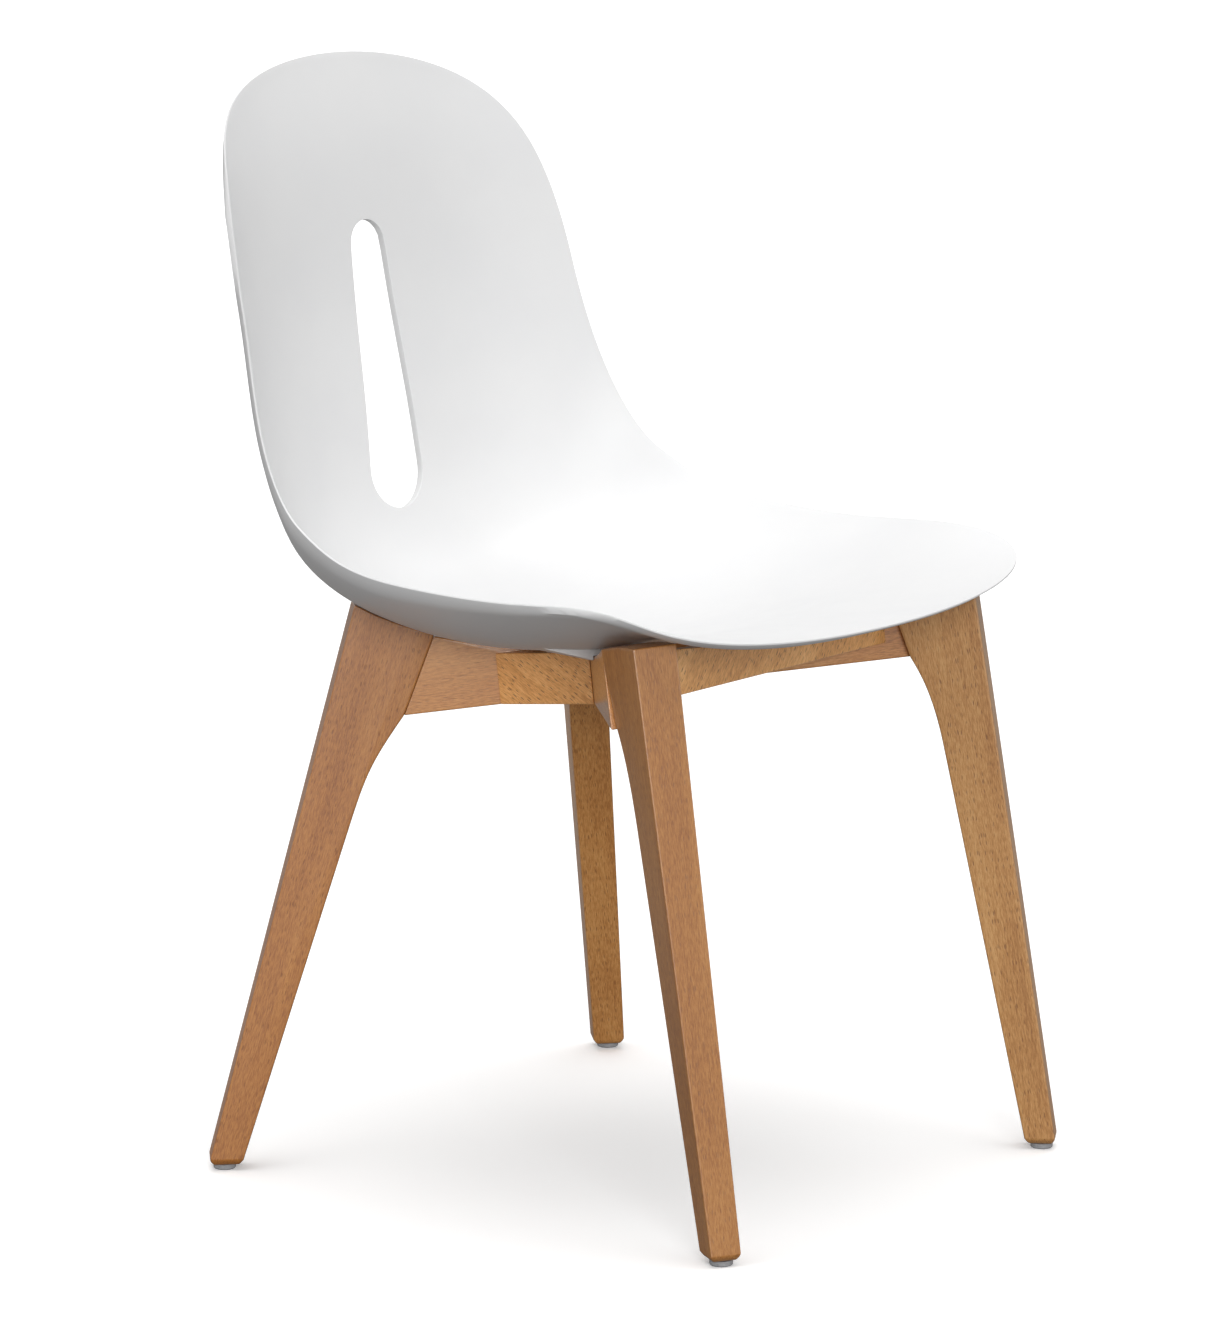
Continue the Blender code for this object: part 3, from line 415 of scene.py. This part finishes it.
def leg_axis(corner):
    """The middle line of a leg, up from its foot, and the direction square to its wide faces."""
    side, end = CORNERS[corner]
    turn = FRONT_LEG_TURN if end < 0 else REAR_LEG_TURN
    out = plan_direction(side, end, turn)
    low, high = (Vector(point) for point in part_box("leg_" + corner))
    foot = glide_middle(corner)
    inset_x, inset_y = LEG_HEAD_INSET
    head_x = low.x + inset_x if side > 0 else high.x - inset_x
    head_y = high.y - inset_y if end < 0 else low.y + inset_y
    return Vector((head_x, head_y, high.z)) - foot, RAKE_TURN @ out.cross(UP)


# Painted light and shade: each leg's tint and warmth set its lightness and colour to match the light that
# leg gets in this view. The rear right and front right legs come out darker, and the two left legs lighter.
LEG_LOOKS_WITH_PAINTED_SHADE = {  # tint and warmth with painted light and shade, strength of the flecks
    "rear_right": (0.70, 0.22, 0.50),
    "front_right": (0.72, 0.13, 0.40),
    "front_left": (1.12, -0.06, 0.65),
    "rear_left": (1.14, 0.04, 0.55),
}
# Painted light: the beams, side blocks and front rail sit in shade under the seat, and their tints lighten
# them, the side blocks and front rail most
BEAM_LOOK_WITH_PAINTED_LIGHT = (1.06, 0.08, 0.30)
BLOCK_LOOK_WITH_PAINTED_LIGHT = (1.80, -0.03, 0.85)
RAIL_LOOK_WITH_PAINTED_LIGHT = (1.80, -0.10, 0.90)


def smooth_weld():
    """Geometry nodes that weld a faceted solid and shade it smooth up to a sharp angle."""
    tree = bpy.data.node_groups.new("weld_and_smooth", "GeometryNodeTree")
    tree.interface.new_socket("Geometry", in_out="INPUT", socket_type="NodeSocketGeometry")
    tree.interface.new_socket("Geometry", in_out="OUTPUT", socket_type="NodeSocketGeometry")
    nodes, link = tree.nodes, tree.links.new
    start, end = nodes.new("NodeGroupInput"), nodes.new("NodeGroupOutput")
    weld = nodes.new("GeometryNodeMergeByDistance")
    weld.inputs["Distance"].default_value = WELD_DISTANCE
    soft = nodes.new("GeometryNodeSetShadeSmooth")
    angle = nodes.new("GeometryNodeInputMeshEdgeAngle")
    sharp = nodes.new("FunctionNodeCompare")
    sharp.data_type = "FLOAT"
    sharp.operation = "GREATER_THAN"
    sharp.inputs["B"].default_value = WOOD_SMOOTH_ANGLE
    hard = nodes.new("GeometryNodeSetShadeSmooth")
    hard.domain = "EDGE"
    hard.inputs["Shade Smooth"].default_value = False
    link(start.outputs[0], weld.inputs["Geometry"])
    link(weld.outputs["Geometry"], soft.inputs["Geometry"])
    link(soft.outputs["Geometry"], hard.inputs["Geometry"])
    link(angle.outputs["Unsigned Angle"], sharp.inputs["A"])
    link(sharp.outputs["Result"], hard.inputs["Selection"])
    link(hard.outputs["Geometry"], end.inputs[0])
    return tree


SMOOTH = smooth_weld()


def dress(node, look):
    """Give a CAD node its material and smooth shading."""
    piece = NODES[node]
    piece.data.materials.clear()
    piece.data.materials.append(look)
    if "custom_normal" in piece.data.attributes:
        piece.data.attributes.remove(piece.data.attributes["custom_normal"])
    smooth = piece.modifiers.new("smooth", "NODES")
    smooth.node_group = SMOOTH
    weighted = piece.modifiers.new("flat faces", "WEIGHTED_NORMAL")
    weighted.keep_sharp = True


for number, (corner, (painted_shade_tint, warmth, fleck)) in enumerate(LEG_LOOKS_WITH_PAINTED_SHADE.items()):
    along, wide = leg_axis(corner)
    dress("leg_" + corner, beech("beech_leg_" + corner, along, wide, painted_shade_tint, warmth, fleck, number + 1.0))

for node, side in (("beam_rear_right_to_front_left", 1), ("beam_front_right_to_rear_left", -1)):
    along = plan_direction(side, -1, BEAM_HALF_ANGLE)
    dress(node, beech("beech_" + node, RAKE_TURN @ along, RAKE_TURN @ along.cross(UP), *BEAM_LOOK_WITH_PAINTED_LIGHT,
                      7.0 + side))

for node, side in (("side_block_right", -1), ("side_block_left", 1)):
    slanted = Vector((0, -0.82, 0.57 * side))
    dress(node, beech("beech_" + node, RAKE_TURN @ slanted, (1, 0, 0), *BLOCK_LOOK_WITH_PAINTED_LIGHT, 11.0 + side))

slanted = Vector((0.62, 0, 0.78))
dress("front_rail", beech("beech_front_rail", RAKE_TURN @ slanted, (0, 1, 0), *RAIL_LOOK_WITH_PAINTED_LIGHT, 15.0))

FITTINGS = {"dowel": raw_beech("dowel_raw_beech"), "screw": zinc(), "insert": brass(), "glide": nylon()}
FITTINGS["rail"] = FITTINGS["dowel"]
FITTINGS["washer"] = FITTINGS["nail"] = FITTINGS["screw"]
for name in NODES:
    kind = name.split("_")[0]
    if kind in FITTINGS:
        dress(name, FITTINGS[kind])


# ---------------------------------------------------------------- the fine shell
def grid_parameters(row, column):
    """The shell's parameters at a corner of the grid: a square bent to the rounded outline."""
    rows, columns = SHELL_GRID
    a = 2 * row / rows - 1
    b = 2 * column / columns - 1
    p = a * math.sqrt(1 - b * b / 2)
    q = b * math.sqrt(1 - a * a / 2)
    span = math.sqrt(max(1 - p * p, 1e-12))
    return (1 + p) / 2, max(-1.0, min(1.0, q / span))


def rim_share(row, column):
    """0 on the rim, 1 where the wall has its full thickness."""
    rows, columns = SHELL_GRID
    inset = min(1 - abs(2 * row / rows - 1), 1 - abs(2 * column / columns - 1))
    share = min(inset / RIM_TAPER, 1.0)
    return share * (2 - share)


def parameter_at_height(z):
    low, high = 0.5, 1.0
    for _ in range(HEIGHT_HALVINGS):
        t = (low + high) / 2
        low, high = (t, high) if profile_z(t) < z else (low, t)
    return low


def slot_parameters(turn):
    """The shell's parameters on the slot's edge; turn runs once round, from the top arc's right end."""
    low_t, high_t = parameter_at_height(SLOT_BOTTOM_Z), parameter_at_height(SLOT_TOP_Z)
    rise = SLOT_TOP_Z - SLOT_BOTTOM_Z
    length = math.hypot(rise, profile_y(high_t) - profile_y(low_t))
    lean = math.asin((SLOT_BOTTOM_RADIUS - SLOT_TOP_RADIUS) / length)
    straight = length * math.cos(lean)
    top_arc = SLOT_TOP_RADIUS * (math.pi - 2 * lean)
    bottom_arc = SLOT_BOTTOM_RADIUS * (math.pi + 2 * lean)
    total = top_arc + bottom_arc + 2 * straight
    way = (turn % 1.0) * total
    if way < top_arc:
        angle = lean + way / SLOT_TOP_RADIUS
        x, up = SLOT_TOP_RADIUS * math.cos(angle), length + SLOT_TOP_RADIUS * math.sin(angle)
    elif way < top_arc + straight:
        share = (way - top_arc) / straight
        x = -((1 - share) * SLOT_TOP_RADIUS + share * SLOT_BOTTOM_RADIUS) * math.cos(lean)
        up = ((1 - share) * (length + SLOT_TOP_RADIUS * math.sin(lean))
              + share * SLOT_BOTTOM_RADIUS * math.sin(lean))
    elif way < top_arc + straight + bottom_arc:
        angle = math.pi - lean + (way - top_arc - straight) / SLOT_BOTTOM_RADIUS
        x, up = SLOT_BOTTOM_RADIUS * math.cos(angle), SLOT_BOTTOM_RADIUS * math.sin(angle)
    else:
        share = (way - top_arc - straight - bottom_arc) / straight
        x = ((1 - share) * SLOT_BOTTOM_RADIUS + share * SLOT_TOP_RADIUS) * math.cos(lean)
        up = ((1 - share) * SLOT_BOTTOM_RADIUS * math.sin(lean)
              + share * (length + SLOT_TOP_RADIUS * math.sin(lean)))
    t = parameter_at_height(SLOT_BOTTOM_Z + up * rise / length)
    return t, x / (half_width(t) * corner_factor(t))


def shell_sheet():
    """The sitter's side with its slot, as an open sheet in the shell's own axes."""
    rows, columns = SHELL_GRID
    first_row, last_row, first_column, last_column = SLOT_WINDOW
    work = bmesh.new()
    inwards = work.verts.layers.float.new("inwards")
    grid = {}
    for row in range(rows + 1):
        for column in range(columns + 1):
            if first_row < row < last_row and first_column < column < last_column:
                continue
            grid[row, column] = work.verts.new(shell_point(*grid_parameters(row, column)))
            grid[row, column][inwards] = rim_share(row, column)
    for row in range(rows):
        for column in range(columns):
            if first_row <= row < last_row and first_column <= column < last_column:
                continue
            corners = ((row, column), (row, column + 1), (row + 1, column + 1), (row + 1, column))
            work.faces.new([grid[corner] for corner in corners])

    middle = (first_column + last_column) // 2
    rim = [(last_row, column) for column in range(middle, first_column, -1)]
    rim += [(row, first_column) for row in range(last_row, first_row, -1)]
    rim += [(first_row, column) for column in range(first_column, last_column)]
    rim += [(row, last_column) for row in range(first_row, last_row)]
    rim += [(last_row, column) for column in range(last_column, middle, -1)]
    outer = [grid[corner] for corner in rim]
    starts = [grid_parameters(*corner) for corner in rim]
    slot = matched_slot(starts)
    previous = outer
    for ring in range(1, SLOT_RINGS + 1):
        share = 1 - (1 - ring / SLOT_RINGS) ** SLOT_CORNER_WEIGHT
        now = []
        for (t0, s0), (t1, s1) in zip(starts, slot):
            now.append(work.verts.new(shell_point(t0 + (t1 - t0) * share, s0 + (s1 - s0) * share)))
            now[-1][inwards] = 1.0
        for i in range(len(now)):
            j = (i + 1) % len(now)
            work.faces.new((previous[i], previous[j], now[j], now[i]))
        previous = now
    bmesh.ops.recalc_face_normals(work, faces=work.faces)
    # a face in the middle of the seat tells which way is out
    sample = min(work.faces, key=lambda face: abs(face.calc_center_median().y + 0.08)
                 + abs(face.calc_center_median().x))
    if sample.normal.z < 0:
        bmesh.ops.reverse_faces(work, faces=work.faces)
    mesh = bpy.data.meshes.new("seat_shell_fine")
    work.to_mesh(mesh)
    work.free()
    return mesh


def matched_slot(starts):
    """A point of the slot's edge for each point of the window, spaced by direction from the middle."""
    fine = [slot_parameters(i / SLOT_SAMPLES) for i in range(SLOT_SAMPLES)]
    middle_t = sum(t for t, _ in fine) / len(fine)
    tall = max(t for t, _ in starts) - middle_t
    wide = max(s for _, s in starts)

    def direction(t, s, t_scale, s_scale):
        return math.atan2((t - middle_t) / t_scale, s / s_scale)

    slot_tall = max(t for t, _ in fine) - middle_t
    slot_wide = max(s for _, s in fine)
    angles = [direction(t, s, slot_tall, slot_wide) for t, s in fine]
    found = []
    for t, s in starts:
        wanted = direction(t, s, tall, wide)
        best = min(range(len(fine)), key=lambda i: abs(math.remainder(angles[i] - wanted, 2 * math.pi)))
        found.append(fine[best])
    return found


def new_piece(name, mesh):
    piece = bpy.data.objects.new(name, mesh)
    bpy.context.scene.collection.objects.link(piece)
    return piece


def make_pad(name, side, end):
    """A pad under the shell whose cheeks fade out away from the beam."""
    out = plan_direction(side, end, BEAM_HALF_ANGLE)
    place = Matrix.Translation(out * PAD_DISTANCES[end]) @ Matrix.Rotation(math.atan2(out.y, out.x), 4, "Z")
    work = bmesh.new()
    bmesh.ops.create_grid(work, x_segments=PAD_GRID[0], y_segments=PAD_GRID[1], size=0.5)
    grown = bmesh.ops.extrude_face_region(work, geom=work.faces[:])
    upper = {item for item in grown["geom"] if isinstance(item, bmesh.types.BMVert)}
    for vertex in work.verts:
        vertex.co.x *= PAD_LENGTH
        vertex.co.y *= BEAM_THICKNESS + 2 * PAD_FADE
        spot = place @ vertex.co
        under = room_under_shell(spot.x, spot.y)
        if vertex in upper:
            vertex.co.z = under + SHELL_THICKNESS / 2
        else:
            beside = min(max(0.0, abs(vertex.co.y) - BEAM_THICKNESS / 2) / PAD_FADE, 1.0)
            cheek = (PAD_CHEEK_DEPTHS[end] + PAD_SINK) * (1 - beside) ** PAD_FADE_POWER
            vertex.co.z = under - cheek + PAD_SINK
    bmesh.ops.recalc_face_normals(work, faces=work.faces)
    mesh = bpy.data.meshes.new(name)
    work.to_mesh(mesh)
    work.free()
    pad = new_piece(name, mesh)
    pad.matrix_world = MODEL_FRAME @ place
    return pad


def beam_channel(name, side, end):
    """The space that a beam takes under a pad."""
    out = plan_direction(side, end, BEAM_HALF_ANGLE)
    across = Vector((-out.y, out.x, 0))
    half = BEAM_THICKNESS / 2 + FIT_GAP
    work = bmesh.new()
    rows = []
    for i in range(CHANNEL_STEPS + 1):
        along = out * (PAD_DISTANCES[end] - PAD_LENGTH + 2 * PAD_LENGTH * i / CHANNEL_STEPS)
        level = min(room_under_shell(*(along + across * half * k).xy) for k in (-1, 1)) - SHELL_SEAT_GAP
        top = min(BEAM_HEIGHT, level) + FIT_GAP
        rows.append([work.verts.new(along + across * half * k + UP * z)
                     for k, z in ((-1, 0.0), (1, 0.0), (1, top), (-1, top))])
    for one, two in zip(rows, rows[1:]):
        for i in range(4):
            work.faces.new((one[i], one[(i + 1) % 4], two[(i + 1) % 4], two[i]))
    work.faces.new(rows[0])
    work.faces.new(rows[-1][::-1])
    bmesh.ops.recalc_face_normals(work, faces=work.faces)
    mesh = bpy.data.meshes.new(name)
    work.to_mesh(mesh)
    work.free()
    channel = new_piece(name, mesh)
    channel.matrix_world = MODEL_FRAME
    return channel


def block_space(name, side):
    """The space of a side block, where a pad's cheek makes room for it."""
    low_x, high_x = SIDE_BLOCK_FACE_X - SIDE_BLOCK_DEPTH - FIT_GAP, SIDE_BLOCK_FACE_X + FIT_GAP
    reach = SIDE_BLOCK_FACE_X / math.tan(BEAM_HALF_ANGLE)
    bpy.ops.mesh.primitive_cube_add(size=1)
    space = bpy.context.object
    space.name = name
    middle = Vector((side * (low_x + high_x) / 2, 0, (SIDE_BLOCK_HEIGHT + FIT_GAP) / 2))
    size = Vector((high_x - low_x, 2 * reach, SIDE_BLOCK_HEIGHT + FIT_GAP))
    space.matrix_world = MODEL_FRAME @ Matrix.Translation(middle) @ Matrix.Diagonal((*size, 1))
    return space


def insert_pocket(corner, side, end):
    """The blind hole of the threaded insert, on the insert's own axis."""
    out = plan_direction(side, end, BEAM_HALF_ANGLE)
    spot = out * PAD_DISTANCES[end]
    top = room_under_shell(spot.x, spot.y) + SHELL_THICKNESS - INSERT_TOP_COVER + FIT_GAP
    bpy.ops.mesh.primitive_cylinder_add(vertices=POCKET_SIDES, radius=INSERT_RADIUS + FIT_GAP,
                                        depth=BEAM_HEIGHT)
    pocket = bpy.context.object
    pocket.name = "pocket_" + corner
    pocket.matrix_world = MODEL_FRAME @ Matrix.Translation(spot + UP * (top - BEAM_HEIGHT / 2))
    return pocket


def combine(piece, tool, operation):
    boolean = piece.modifiers.new(tool.name, "BOOLEAN")
    boolean.operation = operation
    boolean.solver = "MANIFOLD"
    boolean.object = tool


def settle(piece):
    """Put the modifiers' result into the mesh."""
    bpy.context.view_layer.update()
    seen = piece.evaluated_get(bpy.context.evaluated_depsgraph_get())
    mesh = bpy.data.meshes.new_from_object(seen)
    piece.modifiers.clear()
    piece.data = mesh


def thin_rim(shell):
    """Weights that let the wall thin out towards the rim."""
    group = shell.vertex_groups.new(name="full_wall")
    layer = shell.data.attributes["inwards"]
    for vertex, value in zip(shell.data.vertices, layer.data):
        group.add([vertex.index], value.value, "REPLACE")
    return group


def make_shell():
    shell = new_piece("seat_shell_moulding", shell_sheet())
    wall = shell.modifiers.new("wall", "SOLIDIFY")
    wall.thickness = SHELL_THICKNESS
    wall.offset = -1.0
    wall.use_quality_normals = True
    wall.vertex_group = thin_rim(shell).name
    wall.thickness_vertex_group = RIM_THICKNESS / SHELL_THICKNESS
    edge = shell.modifiers.new("rim", "BEVEL")
    edge.width = RIM_ROUND
    edge.segments = 4
    edge.limit_method = "ANGLE"
    edge.angle_limit = RIM_EDGE_ANGLE
    settle(shell)
    tools = [make_pad("pad_" + corner, *ends) for corner, ends in CORNERS.items()]
    for tool in tools:
        combine(shell, tool, "UNION")
    cuts = [beam_channel("channel_" + corner, *ends) for corner, ends in CORNERS.items()]
    cuts += [insert_pocket(corner, *ends) for corner, ends in CORNERS.items()]
    cuts += [block_space("block_space_" + label, side) for label, side in (("right", -1), ("left", 1))]
    for tool in cuts:
        combine(shell, tool, "DIFFERENCE")
    settle(shell)
    for tool in tools + cuts:
        bpy.data.objects.remove(tool, do_unlink=True)
    return shell


def fit_to_cad(piece, node):
    """Move a piece from the shell's axes to its CAD node, within that node's box; return the move."""
    low, high = (Vector(point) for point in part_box(node))
    points = [vertex.co for vertex in piece.data.vertices]
    own_low = Vector([min(p[i] for p in points) for i in range(3)])
    own_high = Vector([max(p[i] for p in points) for i in range(3)])
    scale = [min(1.0, (high[i] - low[i]) / (own_high[i] - own_low[i])) for i in range(3)]
    middle, own_middle = (low + high) / 2, (own_low + own_high) / 2
    for vertex in piece.data.vertices:
        vertex.co = Vector([middle[i] + (vertex.co[i] - own_middle[i]) * scale[i] for i in range(3)])
    return middle - own_middle


shell = make_shell()
CHAIR_SHIFT = fit_to_cad(shell, "seat_shell")
shell.data.materials.clear()
shell.data.materials.append(shell_plastic())
shell.data.shade_smooth()
shell.data.set_sharp_from_angle(angle=SHELL_SMOOTH_ANGLE)
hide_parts("seat_shell")
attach(shell, "root")


# ---------------------------------------------------------------- camera, floor and light
AZIMUTH = math.radians(-51.4755)
ELEVATION = math.radians(11.37)
CAMERA_DISTANCE = 4.278
CAMERA_TARGET = Vector((-0.4565, -0.4479, 0.486))   # in the shell's axes
LENS_PER_SENSOR = 6500 / 1341       # focal length over the long side of the frame
SENSOR = 36.0
FAR_CLIP = 200
FLOOR_SIZE = 120
FLOOR_GREY = 0.95
FLOOR_GLOW = 0.22
FLOOR_BOUNCE = 0.20                 # grey of the floor in the light that it throws up
BACKDROP_LEVEL = 1.02               # the studio to the camera and in reflections
WORLD_FILL = 0.20                   # the studio as a light of its own
SUNS = (  # name, direction that it comes from, strength, width of the source in degrees
    ("top_light", (0.05, 0.0, 1.0), 2.30, 70),
    ("front_light", (-0.64, -0.71, 0.28), 1.48, 25),
    ("right_light", (0.25, -0.95, 0.12), 0.32, 25),
    ("left_light", (-0.80, 0.50, 0.30), 0.55, 50),
)


def make_camera():
    data = bpy.data.cameras.new("camera")
    data.sensor_fit = "VERTICAL"
    data.sensor_height = SENSOR
    data.lens = SENSOR * LENS_PER_SENSOR
    data.clip_end = FAR_CLIP
    camera = bpy.data.objects.new("camera", data)
    bpy.context.scene.collection.objects.link(camera)
    back = Vector((math.sin(AZIMUTH) * math.cos(ELEVATION), -math.cos(AZIMUTH) * math.cos(ELEVATION),
                   math.sin(ELEVATION)))
    target = CAMERA_TARGET + Vector((0, CHAIR_SHIFT.y, 0))
    camera.location = target + back * CAMERA_DISTANCE
    camera.rotation_euler = back.to_track_quat("Z", "Y").to_euler()
    bpy.context.scene.camera = camera


def make_floor():
    """A pale floor: white to look at, greyer in the light that it throws up under the seat."""
    bpy.ops.mesh.primitive_plane_add(size=FLOOR_SIZE, location=(0, 0, 0))
    floor = bpy.context.object
    floor.name = "floor"
    look = Look("floor_white", 0.9)
    look.colour((FLOOR_GREY,) * 3)
    look.set(look.shader, Emission_Color=(1, 1, 1, 1), Emission_Strength=FLOOR_GLOW)
    bounce = look.tree.nodes.new("ShaderNodeBsdfDiffuse")
    bounce.inputs["Color"].default_value = (FLOOR_BOUNCE,) * 3 + (1,)
    seen = look.tree.nodes.new("ShaderNodeLightPath")
    blend = look.tree.nodes.new("ShaderNodeMixShader")
    output = next(node for node in look.tree.nodes if node.type == "OUTPUT_MATERIAL")
    look.feed(seen.outputs["Is Camera Ray"], blend.inputs[0])
    look.feed(bounce.outputs[0], blend.inputs[1])
    look.feed(look.shader.outputs[0], blend.inputs[2])
    look.feed(blend.outputs[0], output.inputs["Surface"])
    floor.data.materials.append(look.material)


def soft_sun(name, direction, strength, spread):
    """A distant light from a direction, as soft as a tent of cloth."""
    data = bpy.data.lights.new(name, "SUN")
    data.energy = strength
    data.angle = math.radians(spread)
    lamp = bpy.data.objects.new(name, data)
    bpy.context.scene.collection.objects.link(lamp)
    lamp.rotation_euler = Vector(direction).to_track_quat("Z", "Y").to_euler()


def make_light():
    """A white studio to look at and in reflections, and dimmer as a light of its own."""
    world = bpy.data.worlds.new("studio")
    world.use_nodes = True
    tree = world.node_tree
    backdrop = tree.nodes["Background"]
    backdrop.inputs["Color"].default_value = (1, 1, 1, 1)
    path = tree.nodes.new("ShaderNodeLightPath")
    level = tree.nodes.new("ShaderNodeMapRange")
    level.inputs["To Min"].default_value = BACKDROP_LEVEL
    level.inputs["To Max"].default_value = WORLD_FILL
    tree.links.new(path.outputs["Is Diffuse Ray"], level.inputs["Value"])
    tree.links.new(level.outputs[0], backdrop.inputs["Strength"])
    bpy.context.scene.world = world
    for light in SUNS:
        soft_sun(*light)
    bpy.context.scene.view_settings.view_transform = "Standard"
    bpy.context.scene.view_settings.look = "None"


make_camera()
make_floor()
make_light()
